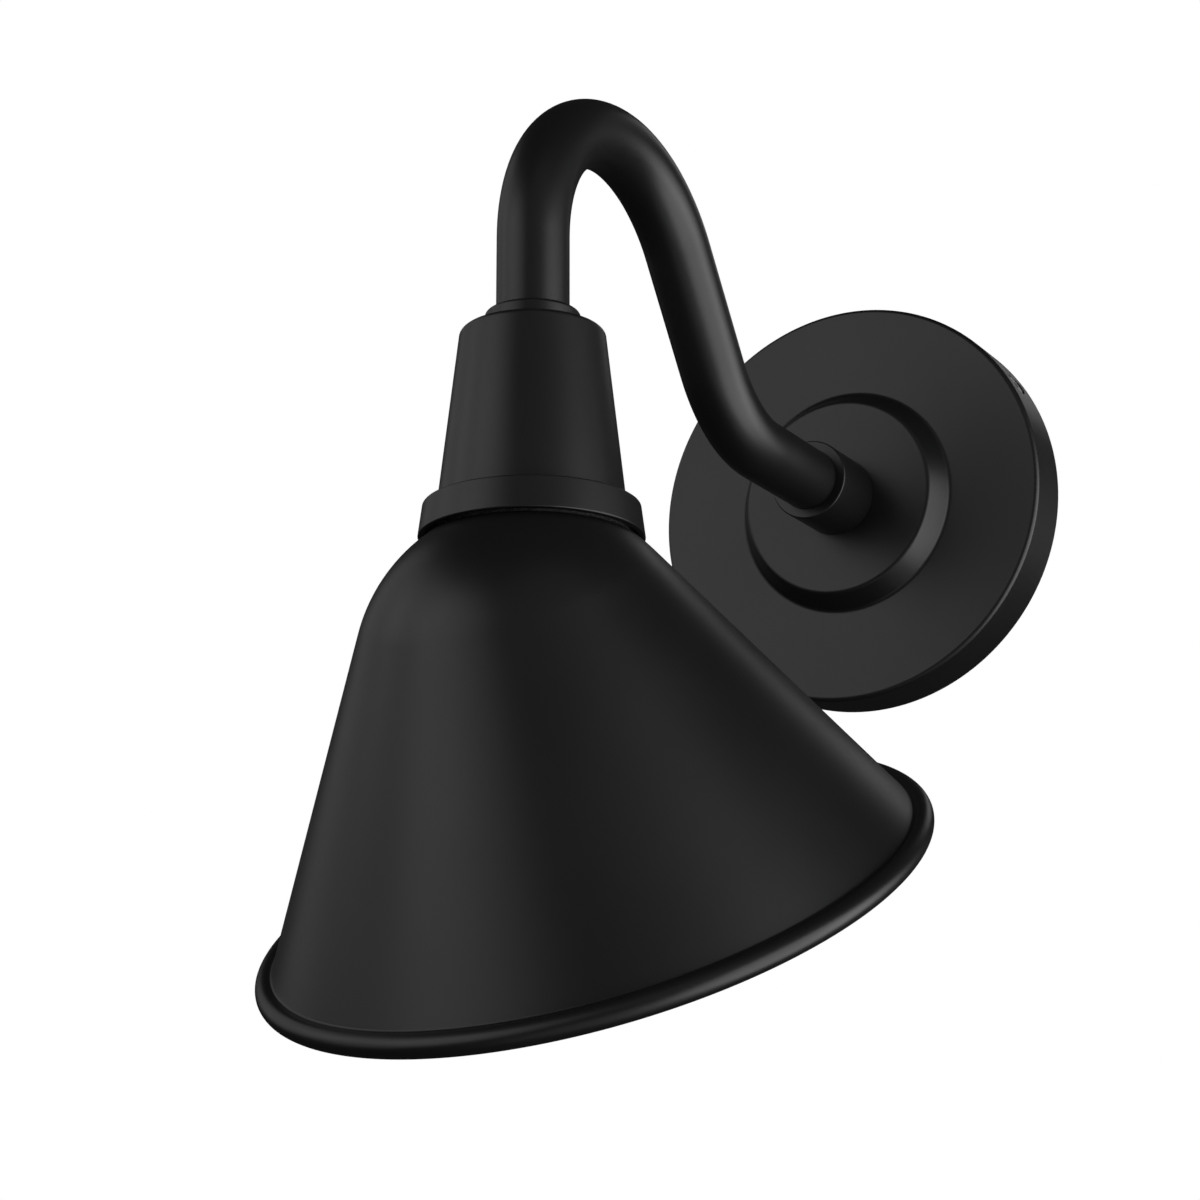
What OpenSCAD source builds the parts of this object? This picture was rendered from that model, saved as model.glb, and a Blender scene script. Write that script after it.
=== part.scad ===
// Outdoor wall light. A gooseneck arm on a round wall plate carries a socket
// housing, and under it hangs a conical shade that is tilted towards the wall.
// The back of the wall plate lies on the plane y = 0 with its centre at the
// origin. The light stands out along -Y, and +Z is up. Sizes are millimetres.

/* [Wall plate] */
// Diameter at the wall
plate_d = 130; // [122:1:150]
// Depth from the wall to the flat front face
plate_depth = 17.4; // [15:0.2:24]
// How much smaller the radius is at the front than at the wall
plate_draft = 0.4; // [0.1:0.1:2]
// Radius of the rounded front edge
plate_edge_r = 1.6; // [0.6:0.1:2.5]
// Thickness of the front face
plate_wall = 2.5; // [1.8:0.1:3.5]
// Thickness of the rim wall behind the front edge
rim_wall = 4.5; // [3.8:0.1:6]
// Diameter of the raised boss where it meets the plate
boss_base_d = 71.6; // [60:0.2:84]
// How much smaller the radius of the boss is at its face
boss_draft = 4.4; // [1.5:0.1:7]
// Height of the boss above the plate's front face
boss_h = 6.8; // [4:0.2:12]
// Radius of the fillets at the foot and the edge of the boss
boss_fillet = 1.2; // [0.3:0.1:1.6]

/* [Wall mount] */
// Thickness of the mounting ring
ring_t = 2; // [1.5:0.1:3]
// Width of the ring's band
ring_band = 10.5; // [8:0.5:12]
// Gap between the ring and the inside of the rim wall
ring_gap = 3; // [2.6:0.1:5]
// Width of the crossbar that carries the two slots
bar_w = 22; // [16:1:26]
// Distance between the centres of the two slots
slot_spacing = 88.9; // [80:0.1:90]
// Length of a slot, end to end
slot_len = 10; // [7:0.5:16]
// Width of a slot
slot_w = 5; // [4:0.1:6]
// Height of a rim screw's axis above the horizontal, in degrees
screw_angle = 30; // [26:1:60]
// Thickness of the foam seal in the back edge
seal_t = 3; // [1.5:0.1:4]
// Width of the foam seal
seal_w = 2.7; // [1.5:0.1:3]

/* [Arm] */
// Outer diameter of the bent tube
tube_d = 19; // [16:0.5:21]
// Wall of the tube
tube_wall = 1.2; // [0.8:0.1:1.6]
// Diameter of the collar on the boss
collar_d = 25; // [23:0.5:32]
// Length of the collar
collar_len = 20.9; // [17:0.1:30]
// Depth of the tube's seat in the collar
collar_seat = 10.9; // [8:0.1:12]
// Straight length between the collar and the first bend
root_len = 33.2; // [20:0.2:50]
// Centre-line radius of the first bend
rise_r = 37.4; // [30:0.2:50]
// Slope of the straight run, in degrees from the horizontal
rise_angle = 55; // [45:1:65]
// Length of the straight sloping run
rise_len = 35.9; // [20:0.1:60]
// Centre-line radius of the bend over the top
top_r = 43.8; // [36:0.2:60]
// Length of the straight drop to the housing
drop_len = 26.5; // [14:0.5:40]

/* [Ferrule and housing] */
// Diameter of the ferrule on top of the housing
ferrule_d = 24.8; // [22:0.2:32]
// Height of the ferrule
ferrule_h = 5.3; // [3:0.1:9]
// Diameter of the housing at the top
housing_top_d = 37.6; // [34:0.2:46]
// Diameter of the housing at the bottom
housing_bottom_d = 48; // [44:0.2:52]
// Height of the housing
housing_h = 46.7; // [40:0.1:60]
// Wall of the housing
housing_wall = 1.6; // [1.2:0.1:2]
// Radius of the housing's rounded top edge
housing_edge_r = 1.5; // [0.5:0.1:3]
// Diameter of the shade holder at the top
holder_top_d = 55.4; // [52:0.2:60]
// How much wider the holder's radius is at the bottom
holder_flare = 1; // [0:0.1:3]
// Height of the shade holder
holder_h = 8.5; // [6:0.1:14]
// Wall of the holder's skirt
holder_wall = 1.4; // [1:0.1:1.8]

/* [Shade] */
// Outer radius of the spherical dome
dome_r = 44.1; // [40:0.1:50]
// Angle between the cone's side and the shade's axis, in degrees
cone_angle = 30.35; // [26:0.05:36]
// Tilt of the shade's axis towards the wall, in degrees
shade_tilt = 31.45; // [20:0.05:36]
// Outer diameter over the rolled rim
rim_d = 176.5; // [160:0.5:200]
// Thickness of the spun sheet
sheet_t = 1; // [0.8:0.1:1.4]
// Diameter of the rolled bead
bead_d = 5.1; // [4:0.1:7]
// How far the middle of the bead stands outside the sheet
bead_stand = 0.7; // [0.3:0.1:1]
// Radius of the hollow fillet above the bead
bead_fillet = 2; // [0.8:0.1:3]

/* [Lampholder and bulb] */
// Length of the porcelain body below its flange
porcelain_len = 19; // [16:0.5:22]
// Height left over the porcelain body for the nut and the leads
wiring_room = 17.7; // [15:0.1:24]
// Outer diameter of the brass screw shell
shell_d = 28.4; // [28:0.1:29]
// Sheet thickness of the screw shell
shell_t = 0.7; // [0.4:0.1:0.8]
// Diameter of the bulb's screw cap over its thread
cap_d = 26.2; // [25.6:0.1:26.4]
// Largest diameter of the bulb
bulb_d = 60; // [45:1:62]
// Length of the bulb from its contact to its tip
bulb_len = 108; // [104:1:115]

/* [Hidden] */
$fn = 96;

// Clearances
thread_gap = 0.05;
slip_gap = 0.1;
neck_gap = 0.3;
lip_gap = 0.2;
bulb_gap = 0.1;
overcut = 1;

// Wall plate, measured outwards from the wall
plate_r = plate_d / 2;
plate_front_r = plate_r - plate_draft;
cavity_r = plate_r - rim_wall;
boss_base_r = boss_base_d / 2;
boss_face_r = boss_base_r - boss_draft;
boss_out = plate_depth + boss_h;
boss_inside = boss_out - plate_wall;
plate_inside = plate_depth - plate_wall;

// Rim screws and the tabs of the mounting ring that they grip
rim_screw_out = plate_depth / 2;
screw_head_r = 3.2;
screw_head_h = 2;
screw_shank_r = 2;
recess_r = 3.6;
recess_depth = 2.4;
drive_r = 1.3;
tab_w = 14;
tab_t = 2;
bend_inset = 0.3;
tab_outer_r = sqrt(pow(cavity_r - slip_gap, 2) - pow(tab_w / 2, 2));
tab_inner_r = tab_outer_r - tab_t;
tab_out = rim_screw_out + 4;
ring_r = cavity_r - ring_gap;
band_r = ring_r - ring_band / 2;

// Ground screw on the ring's band
ground_angle = 120;
ground_head_r = 4;
ground_head_h = 2.6;
ground_shank_r = 2.4;
slot_cut = 1;

// Threaded tubes, nuts and washers
thread_r = 5;
thread_tooth = 0.5;
nipple_bore_r = 3.6;
nipple_stick_out = 2;
nut_flats = 14;
nut_t = 4;
washer_r = 8;
washer_t = 1.2;
terminal_t = 0.8;
barrel_r = 1.8;
barrel_len = 6;

// Arm, in its own plane: outwards from the wall, then up. A straight run is thicker by a
// hair than the bends that it joins, and reaches a little into them.
tube_r = tube_d / 2;
tube_inner_r = tube_r - tube_wall;
joint_hair = 0.03;
joint_lap = 0.2;
collar_r = collar_d / 2;
collar_front = boss_out + collar_len;
tube_start = collar_front - collar_seat;
bend_start = collar_front + root_len;
slope_start = [bend_start + rise_r * sin(rise_angle), rise_r * (1 - cos(rise_angle))];
slope_end = slope_start + rise_len * [cos(rise_angle), sin(rise_angle)];
top_centre = slope_end + top_r * [sin(rise_angle), -cos(rise_angle)];
arm_reach = top_centre[0] + top_r;
head_z = top_centre[1] - drop_len;

// Stacks of washers and nuts inside the wall plate and inside the housing
arm_stack = boss_inside - terminal_t - washer_t - nut_t;
ceiling_z = head_z - housing_wall;
head_stack = ceiling_z - washer_t - nut_t;
plug_len = 14;
plug_thread = 10;

// Housing and holder
holder_z = head_z - housing_h;
housing_top_r = housing_top_d / 2;
housing_bottom_r = housing_bottom_d / 2;
holder_top_r = holder_top_d / 2;
holder_bottom_r = holder_top_r + holder_flare;
skirt_z = holder_z - holder_h;
skirt_inner_r = holder_bottom_r - holder_wall;
spigot_len = 6;
spigot_wall = 1.3;
function housing_r(z) =
    housing_top_r + (housing_bottom_r - housing_top_r) * (head_z - z) / housing_h;
spigot_r = housing_r(holder_z + spigot_len) - housing_wall - slip_gap;

// Porcelain body
flange_r = spigot_r - spigot_wall - slip_gap;
flange_t = 4;
flange_lip = 1.4;
porcelain_r = flange_r - flange_lip;
porcelain_bottom = holder_z - porcelain_len;
porcelain_top = head_z - wiring_room;
porcelain_shoulder_r = porcelain_r - 2.6;
porcelain_top_r = porcelain_r - 3.8;

// Shade. Its dome's centre lies on the head's axis, so low that the side towards the wall clears
// the holder's skirt. In the shade's own axis, s runs from that centre towards the rim.
side_lean = 90 - cone_angle - shade_tilt;
dome_z = skirt_z - lip_gap - (dome_r - skirt_inner_r * sin(side_lean)) / cos(side_lean);
seat_z = skirt_z + 1.5;
gasket_t = 2;
land_z = seat_z - gasket_t;
land_r = sqrt(pow(dome_r, 2) - pow(land_z - dome_z, 2));
clamp_r = land_r - 1.5;
neck_hole_r = porcelain_r + neck_gap;
shade_ring_h = 4;
bead_r = bead_d / 2;
bead_ring_r = rim_d / 2 - bead_r;
bead_s = (bead_ring_r * cos(cone_angle) - dome_r - bead_stand) / sin(cone_angle);

// Screw shell, contact and terminals
shell_r = shell_d / 2;
shell_top = holder_z + 8;
shell_mouth = 2;
shell_hole_r = 6;
contact_recess = 2;
contact_r = 4.5;
contact_t = 1;
button_r = 2.5;
button_len = 3.2;
terminal_x = 8.5;
terminal_head_r = 3;
terminal_head_h = 2;
terminal_shank_r = 1.5;
terminal_shank_len = 6;

// Bulb
bulb_top = shell_top + contact_recess - contact_t - button_len - bulb_gap;
insulator_h = 3;
tip_h = 1.2;
tip_r = 3.5;
cap_r = cap_d / 2;
cap_wall = 0.5;
cap_len = 21;
thread_depth = 0.9;
thread_pitch = 3.6;
thread_turns = 5;
cap_top = bulb_top - tip_h - insulator_h;
cap_bore_r = cap_r - thread_depth - cap_wall;
cap_skirt_h = 1.2;
neck_z = cap_top - cap_len;
bulb_r = bulb_d / 2;
glass_r = cap_r - thread_depth;
glass_t = 1;
globe_z = bulb_top - bulb_len + bulb_r;
neck_h = neck_z - globe_z;
neck_arc_r = (pow(glass_r, 2) + pow(neck_h, 2) - pow(bulb_r, 2)) / (2 * (bulb_r - glass_r));

// Routes of the leads: sideways, outwards from the wall, up. They follow the arm's centre line.
lead_r = 1.2;
lead_x = 1.45;
bow_turn = 90 + rise_angle;
bow_parts = 5;
function on_bow(a) = [lead_x, top_centre[0] + top_r * cos(a), top_centre[1] + top_r * sin(a)];
function on_rise(a) = [lead_x, bend_start + rise_r * sin(a), rise_r * (1 - cos(a))];
lead_route = concat(
    [
        [5, arm_reach, porcelain_top + 1.4],
        [3.2, arm_reach, porcelain_top + 2.8],
        [1.5, arm_reach, porcelain_top + 7.5],
        [lead_x, arm_reach, head_z + 6.3]
    ],
    [for (k = [0:bow_parts]) on_bow(bow_turn * k / bow_parts)],
    [on_rise(rise_angle), on_rise(rise_angle / 2), on_rise(0), [lead_x, collar_front, 0], [lead_x, arm_stack, 0]],
    [[2.6, 11.4, -2], [7, 8.7, -6], [13, 8.5, -8], [25, 8.5, -8]]
);
// The ground lead runs along the ground screw's radius: sideways, outwards from the wall, along
ground_end = band_r - 5.25;
ground_route = [
    [0, 19.8, 11], [0, 19.8, 15], [0, 18.4, 20], [0, 12, ground_end - 19],
    [0, 5.6, ground_end - 11], [0, 3.5, ground_end - 5], [0, 3.4, ground_end]
];
connector_x = 21;
connector_out = 8.5;
connector_z = -9.2;
connector_r = 5;
connector_tip_r = 3.4;
connector_grip = 11;
connector_len = 18;
connector_bore_r = 2.6;
connector_bore = 10;

// Placing: the arm's plane, pieces that face outwards from the wall, the head's axis, the shade's axis
module in_arm_plane() rotate([90, 0, -90]) children();
module off_wall() rotate([90, 0, 0]) children();
module on_rim(angle)
    off_wall() rotate([0, 0, angle]) translate([0, 0, rim_screw_out]) rotate([0, 90, 0]) children();
module at_head() translate([0, -arm_reach, 0]) children();
module shade_axis() translate([0, -arm_reach, dome_z]) rotate([180 + shade_tilt, 0, 0]) children();

// A flat ring or tube standing on its lower end
module tube(outer_r, inner_r, h) {
    difference() {
        cylinder(r = outer_r, h = h);
        translate([0, 0, -overcut]) cylinder(r = inner_r, h = h + 2 * overcut);
    }
}

// Points of an arc in a plane, from one angle to another
function arc(centre, r, from, to, steps) =
    [for (i = [0:steps]) let (a = from + (to - from) * i / steps) centre + r * [cos(a), sin(a)]];

// The rod along the arm's centre line, from a start on the straight root to an end on the drop
module arm_rod(r, start, end_z) {
    translate([start, 0, 0]) rotate([0, 90, 0]) cylinder(r = r, h = bend_start + joint_lap - start);
    translate([bend_start, rise_r, 0]) rotate([0, 0, -90]) rotate_extrude(angle = rise_angle)
        translate([rise_r, 0]) circle(r = r - joint_hair);
    translate([slope_start[0], slope_start[1], 0]) rotate([0, 0, rise_angle]) rotate([0, 90, 0])
        translate([0, 0, -joint_lap]) cylinder(r = r, h = rise_len + 2 * joint_lap);
    translate([top_centre[0], top_centre[1], 0]) rotate_extrude(angle = 90 + rise_angle)
        translate([top_r, 0]) circle(r = r - joint_hair);
    translate([arm_reach, end_z, 0]) rotate([-90, 0, 0])
        cylinder(r = r, h = top_centre[1] + joint_lap - end_z);
}

// Outline of the plate's front with its boss, from the rim inwards: radius, then distance from the wall
function plate_outline() =
    let (
        e = plate_edge_r,
        f = boss_fillet,
        slope = atan2(boss_h, boss_draft),
        reach = f * tan(slope / 2),
        foot = [boss_base_r + reach, plate_depth + f],
        brow = [boss_face_r - reach, boss_out - f]
    )
    concat(
        [[plate_r, 0]],
        arc([plate_front_r - e, plate_depth - e], e, 0, 90, 8),
        arc(foot, f, -90, -90 - slope, 6),
        arc(brow, f, 90 - slope, 90, 6)
    );

module wall_plate() {
    color("#2b2b2d") difference() {
        off_wall() rotate_extrude() polygon(concat(
            plate_outline(),
            [
                [thread_r + slip_gap, boss_out],
                [thread_r + slip_gap, boss_inside],
                [boss_face_r - plate_wall, boss_inside],
                [boss_base_r - plate_wall, plate_inside],
                [cavity_r, plate_inside],
                [cavity_r, seal_t],
                [cavity_r + seal_w, seal_t],
                [cavity_r + seal_w, 0]
            ]
        ));
        for (a = [screw_angle, screw_angle + 180]) on_rim(a) {
            translate([0, 0, cavity_r - overcut])
                cylinder(r = screw_shank_r + slip_gap, h = rim_wall + 2 * overcut);
            translate([0, 0, plate_r - recess_depth]) cylinder(r = recess_r, h = recess_depth + overcut);
        }
    }
}

module wall_gasket() {
    color("#3a3a3a") off_wall() tube(cavity_r + seal_w, cavity_r, seal_t);
}

// The ring is cut from one sheet with its crossbar and two tabs, which are bent forwards
module mounting_ring() {
    foot_w = tab_w - 2 * bend_inset;
    foot_len = tab_outer_r - bend_inset - band_r;
    color("#b9bcc0") off_wall() difference() {
        union() {
            linear_extrude(ring_t) union() {
                difference() {
                    circle(r = ring_r);
                    circle(r = ring_r - ring_band);
                }
                translate([-band_r, -bar_w / 2]) square([2 * band_r, bar_w]);
                for (a = [screw_angle, screw_angle + 180]) rotate(a)
                    translate([band_r, -foot_w / 2]) square([foot_len, foot_w]);
            }
            for (a = [screw_angle, screw_angle + 180]) rotate([0, 0, a])
                translate([tab_inner_r, -tab_w / 2, bend_inset]) cube([tab_t, tab_w, tab_out - bend_inset]);
        }
        for (side = [-1, 1]) translate([side * slot_spacing / 2, 0, -overcut])
            linear_extrude(ring_t + 2 * overcut) union() {
                translate([-(slot_len - slot_w) / 2, -slot_w / 2]) square([slot_len - slot_w, slot_w]);
                for (end = [-1, 1]) translate([end * (slot_len - slot_w) / 2, 0]) circle(r = slot_w / 2);
            }
        for (a = [screw_angle, screw_angle + 180]) rotate([0, 0, a])
            translate([tab_inner_r - overcut, 0, rim_screw_out]) rotate([0, 90, 0])
                cylinder(r = screw_shank_r + thread_gap, h = tab_t + 2 * overcut);
        rotate([0, 0, ground_angle]) translate([band_r, 0, -overcut])
            cylinder(r = ground_shank_r + thread_gap, h = ring_t + 2 * overcut);
    }
}

module rim_screws() {
    head_at = plate_r - recess_depth;
    shank_at = tab_inner_r - overcut;
    color("#8d9196") for (a = [screw_angle, screw_angle + 180]) on_rim(a) difference() {
        union() {
            translate([0, 0, shank_at]) cylinder(r = screw_shank_r, h = head_at - shank_at);
            translate([0, 0, head_at]) cylinder(r = screw_head_r, h = screw_head_h);
        }
        translate([0, 0, head_at + screw_head_h / 2]) cylinder(r = drive_r, h = screw_head_h, $fn = 6);
    }
}

module ground_screw() {
    color("#3f8f4a") off_wall() rotate([0, 0, ground_angle]) translate([band_r, 0, 0]) difference() {
        union() {
            cylinder(r = ground_shank_r, h = ring_t);
            translate([0, 0, ring_t]) cylinder(r = ground_head_r, h = ground_head_h, $fn = 6);
        }
        translate([-ground_head_r, -slot_cut / 2, ring_t + ground_head_h - slot_cut])
            cube([2 * ground_head_r, slot_cut, 2 * slot_cut]);
    }
}

// The terminal under the arm's nut, with a tongue and a short barrel for the ground lead
module ground_ring() {
    barrel_at = washer_r + 0.5;
    tongue_w = 1.6 * barrel_r;
    top = boss_inside;
    color("#c9a24a") off_wall() rotate([0, 0, ground_angle]) difference() {
        union() {
            translate([0, 0, top - terminal_t]) tube(washer_r, thread_r + slip_gap, terminal_t);
            translate([washer_r - 1, -tongue_w / 2, top - terminal_t])
                cube([barrel_len, tongue_w, terminal_t]);
            translate([barrel_at, 0, top - barrel_r - slip_gap]) rotate([0, 90, 0])
                cylinder(r = barrel_r, h = barrel_len);
        }
        translate([barrel_at + 1, 0, top - barrel_r - slip_gap]) rotate([0, 90, 0])
            cylinder(r = lead_r + slip_gap, h = barrel_len);
    }
}

// A hollow threaded tube
module nipple(len) {
    crests = floor(len) - 1;
    rotate_extrude() polygon(concat(
        [[nipple_bore_r, 0]],
        [for (i = [0:crests]) each [[thread_r - thread_tooth, i], [thread_r, i + 0.5]]],
        [[thread_r - thread_tooth, crests + 1], [thread_r - thread_tooth, len], [nipple_bore_r, len]]
    ));
}

module hex_nut() {
    difference() {
        cylinder(r = nut_flats / 2 / cos(30), h = nut_t, $fn = 6);
        translate([0, 0, -overcut]) cylinder(r = thread_r + thread_gap, h = nut_t + 2 * overcut);
    }
}

// A washer with teeth round its edge
module tooth_washer() {
    tooth_gap = 1.2;
    difference() {
        tube(washer_r, thread_r + thread_gap, washer_t);
        for (a = [0:30:330]) rotate([0, 0, a]) translate([washer_r - 0.8, -tooth_gap / 2, -overcut])
            cube([2, tooth_gap, washer_t + 2 * overcut]);
    }
}

module arm_nipple() {
    start = arm_stack - nipple_stick_out;
    color("#c2a14c") off_wall() translate([0, 0, start]) nipple(tube_start - slip_gap - start);
}

module arm_washer() {
    color("#b9bcc0") off_wall() translate([0, 0, arm_stack + nut_t]) tooth_washer();
}

module arm_nut() {
    color("#b9bcc0") off_wall() translate([0, 0, arm_stack]) hex_nut();
}

module arm_collar() {
    chamfer = 0.5;
    color("#2b2b2d") off_wall() translate([0, 0, boss_out]) rotate_extrude() polygon([
        [thread_r + thread_gap, 0],
        [collar_r, 0],
        [collar_r, collar_len - chamfer],
        [collar_r - chamfer, collar_len],
        [tube_r + thread_gap, collar_len],
        [tube_r + thread_gap, collar_len - collar_seat],
        [thread_r + thread_gap, collar_len - collar_seat]
    ]);
}

module gooseneck_arm() {
    color("#2b2b2d") in_arm_plane() difference() {
        arm_rod(tube_r, tube_start, head_z);
        arm_rod(tube_inner_r, tube_start - overcut, head_z - overcut);
    }
}

module arm_end_plug() {
    color("#b9bcc0") at_head() translate([0, 0, head_z])
        tube(tube_inner_r - thread_gap, thread_r + thread_gap, plug_len);
}

module head_nipple() {
    start = head_stack - nipple_stick_out;
    color("#c2a14c") at_head() translate([0, 0, start]) nipple(head_z + plug_thread - start);
}

module head_washer() {
    color("#b9bcc0") at_head() translate([0, 0, ceiling_z - washer_t]) tooth_washer();
}

module head_nut() {
    color("#b9bcc0") at_head() translate([0, 0, head_stack]) hex_nut();
}

module ferrule() {
    e = 1;
    ferrule_r = ferrule_d / 2;
    bore_r = tube_r + thread_gap;
    color("#2b2b2d") at_head() translate([0, 0, head_z]) rotate_extrude() polygon(concat(
        [[bore_r, 0], [ferrule_r, 0]],
        arc([ferrule_r - e, ferrule_h - e], e, 0, 90, 6),
        [[bore_r, ferrule_h]]
    ));
}

module socket_housing() {
    e = housing_edge_r;
    color("#2b2b2d") at_head() rotate_extrude() polygon(concat(
        [[housing_bottom_r, holder_z]],
        arc([housing_r(head_z - e) - e, head_z - e], e, 0, 90, 8),
        [
            [thread_r + slip_gap, head_z],
            [thread_r + slip_gap, ceiling_z],
            [housing_r(ceiling_z) - housing_wall, ceiling_z],
            [housing_bottom_r - housing_wall, holder_z]
        ]
    ));
}

// The holder's spigot fits inside the housing, and the shade's gasket seats under its web
module shade_holder() {
    e = 0.4;
    color("#2b2b2d") at_head() rotate_extrude() polygon([
        [neck_hole_r, holder_z],
        [neck_hole_r, seat_z],
        [skirt_inner_r - 1, seat_z],
        [skirt_inner_r, skirt_z],
        [holder_bottom_r - e, skirt_z],
        [holder_bottom_r, skirt_z + e],
        [holder_top_r, holder_z - e],
        [holder_top_r - e, holder_z],
        [spigot_r, holder_z],
        [spigot_r, holder_z + spigot_len],
        [spigot_r - spigot_wall, holder_z + spigot_len],
        [spigot_r - spigot_wall, holder_z]
    ]);
}

module lampholder() {
    e = 2;
    color("#ece9df") at_head() difference() {
        rotate_extrude() polygon(concat(
            [
                [0, porcelain_bottom],
                [porcelain_r - 1, porcelain_bottom],
                [porcelain_r, porcelain_bottom + 1],
                [porcelain_r, holder_z],
                [flange_r, holder_z],
                [flange_r, holder_z + flange_t],
                [porcelain_shoulder_r, holder_z + flange_t]
            ],
            arc([porcelain_top_r - e, porcelain_top - e], e, 0, 90, 6),
            [[0, porcelain_top]]
        ));
        translate([0, 0, porcelain_bottom - overcut])
            cylinder(r = shell_r + thread_gap, h = shell_top - porcelain_bottom + overcut);
        translate([0, 0, shell_top - overcut])
            cylinder(r = contact_r + slip_gap, h = contact_recess + overcut);
        for (side = [-1, 1]) translate([side * terminal_x, 0, porcelain_top - terminal_shank_len])
            cylinder(r = terminal_shank_r + thread_gap, h = terminal_shank_len + overcut);
    }
}

module screw_shell() {
    mouth_z = porcelain_bottom + shell_mouth;
    color("#c9a24a") at_head() rotate_extrude() polygon([
        [shell_r, mouth_z],
        [shell_r, shell_top],
        [shell_hole_r, shell_top],
        [shell_hole_r, shell_top - shell_t],
        [shell_r - shell_t, shell_top - shell_t],
        [shell_r - shell_t, mouth_z]
    ]);
}

module centre_contact() {
    disc_z = shell_top + contact_recess - contact_t;
    color("#c9a24a") at_head() union() {
        translate([0, 0, disc_z]) cylinder(r = contact_r, h = contact_t);
        translate([0, 0, disc_z - button_len]) cylinder(r = button_r, h = button_len);
    }
}

module terminal_screws() {
    cut = 0.8;
    color("#c9a24a") at_head() for (side = [-1, 1]) translate([side * terminal_x, 0, porcelain_top])
        difference() {
            union() {
                translate([0, 0, -terminal_shank_len]) cylinder(r = terminal_shank_r, h = terminal_shank_len);
                cylinder(r = terminal_head_r, h = terminal_head_h);
            }
            translate([-cut / 2, -terminal_head_r, terminal_head_h - cut])
                cube([cut, 2 * terminal_head_r, 2 * cut]);
        }
}

module shade_gasket() {
    color("#222222") at_head() translate([0, 0, land_z]) tube(clamp_r, neck_hole_r, gasket_t);
}

// The spun sheet with its rolled bead, in the shade's own axis: radius, then s
function shade_outline() =
    let (
        a = cone_angle,
        out = [cos(a), -sin(a)],
        along = [sin(a), cos(a)],
        bead = [bead_ring_r, bead_s],
        run = sqrt(pow(bead_r + bead_fillet, 2) - pow(bead_fillet - bead_stand, 2)),
        fillet = bead + (bead_fillet - bead_stand) * out - run * along,
        meet = atan2(fillet[1] - bead[1], fillet[0] - bead[0]),
        inside = bead_stand + sheet_t,
        inner_end = bead - inside * out - sqrt(pow(bead_r, 2) - pow(inside, 2)) * along,
        inner_meet = atan2(inner_end[1] - bead[1], inner_end[0] - bead[0])
    )
    concat(
        arc([0, 0], dome_r, -90, -a, 30),
        arc(fillet, bead_fillet, 180 - a, 180 + meet, 8),
        arc(bead, bead_r, meet, inner_meet + 360, 32),
        arc([0, 0], dome_r - sheet_t, -a, -90, 30)
    );

// A solid that fills the dome and the top of the cone up to the middle of the sheet
module shade_filling() {
    mid_r = dome_r - sheet_t / 2;
    lower = mid_r * [cos(cone_angle), -sin(cone_angle)] + mid_r / 2 * [sin(cone_angle), cos(cone_angle)];
    shade_axis() rotate_extrude($fn = 180)
        polygon(concat(arc([0, 0], mid_r, -90, -cone_angle, 30), [lower, [0, lower[1]]]));
}

// The neck of the shade is cut off flat, and a flat land closes it round the lampholder
module shade() {
    color("#2b2b2d") difference() {
        union() {
            shade_axis() rotate_extrude($fn = 180) polygon(shade_outline());
            intersection() {
                shade_filling();
                at_head() translate([0, 0, land_z - sheet_t]) cylinder(r = dome_r, h = 2 * sheet_t);
            }
        }
        at_head() translate([0, 0, land_z]) cylinder(r = dome_r, h = dome_r);
        at_head() translate([0, 0, land_z - dome_r / 2]) cylinder(r = neck_hole_r, h = dome_r);
    }
}

// The notched ring that screws up the lampholder and clamps the shade's neck
module shade_ring() {
    notch_r = 1.2;
    color("#b9bcc0") at_head() translate([0, 0, land_z - sheet_t - shade_ring_h]) difference() {
        tube(clamp_r, porcelain_r + thread_gap, shade_ring_h);
        for (a = [0:30:330]) rotate([0, 0, a]) translate([clamp_r, 0, -overcut])
            cylinder(r = notch_r, h = shade_ring_h + 2 * overcut);
    }
}

// A smooth curve through route points, and the tube swept along it
function curve_point(p, i, t) =
    let (
        last = len(p) - 1,
        p0 = i > 0 ? p[i - 1] : 2 * p[0] - p[1],
        p1 = p[i],
        p2 = p[i + 1],
        p3 = i + 2 <= last ? p[i + 2] : 2 * p[last] - p[last - 1],
        bend = 2 * p0 - 5 * p1 + 4 * p2 - p3,
        twist = 3 * p1 - p0 - 3 * p2 + p3
    )
    (2 * p1 + (p2 - p0) * t + bend * t * t + twist * t * t * t) / 2;
function curve(p, steps) =
    concat([for (i = [0:len(p) - 2], k = [0:steps - 1]) curve_point(p, i, k / steps)], [p[len(p) - 1]]);
function unit(v) = v / norm(v);
function heading(c, i) = unit(c[min(i + 1, len(c) - 1)] - c[max(i - 1, 0)]);
function frames(c, i, side) =
    i >= len(c) ? [] :
    let (h = heading(c, i), s = unit(side - (side * h) * h))
    concat([s], frames(c, i + 1, s));

module lead(route, side) {
    sides = 8;
    c = curve([for (p = route) [p[0], -p[1], p[2]]], 2);
    across = frames(c, 0, side);
    points = [
        for (i = [0:len(c) - 1]) let (u = across[i], v = cross(heading(c, i), u))
            for (k = [0:sides - 1]) let (a = k * 360 / sides) c[i] + lead_r * (cos(a) * u + sin(a) * v)
    ];
    walls = [
        for (i = [0:len(c) - 2], k = [0:sides - 1])
            let (n = (k + 1) % sides, here = i * sides, next = here + sides)
            each [[here + k, next + k, next + n], [here + k, next + n, here + n]]
    ];
    first = [for (k = [0:sides - 1]) k];
    last = [for (k = [sides - 1:-1:0]) (len(c) - 1) * sides + k];
    polyhedron(points = points, faces = concat(walls, [first, last]));
}

module black_lead() {
    color("#161616") lead(lead_route, [0, 0, 1]);
}

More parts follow.
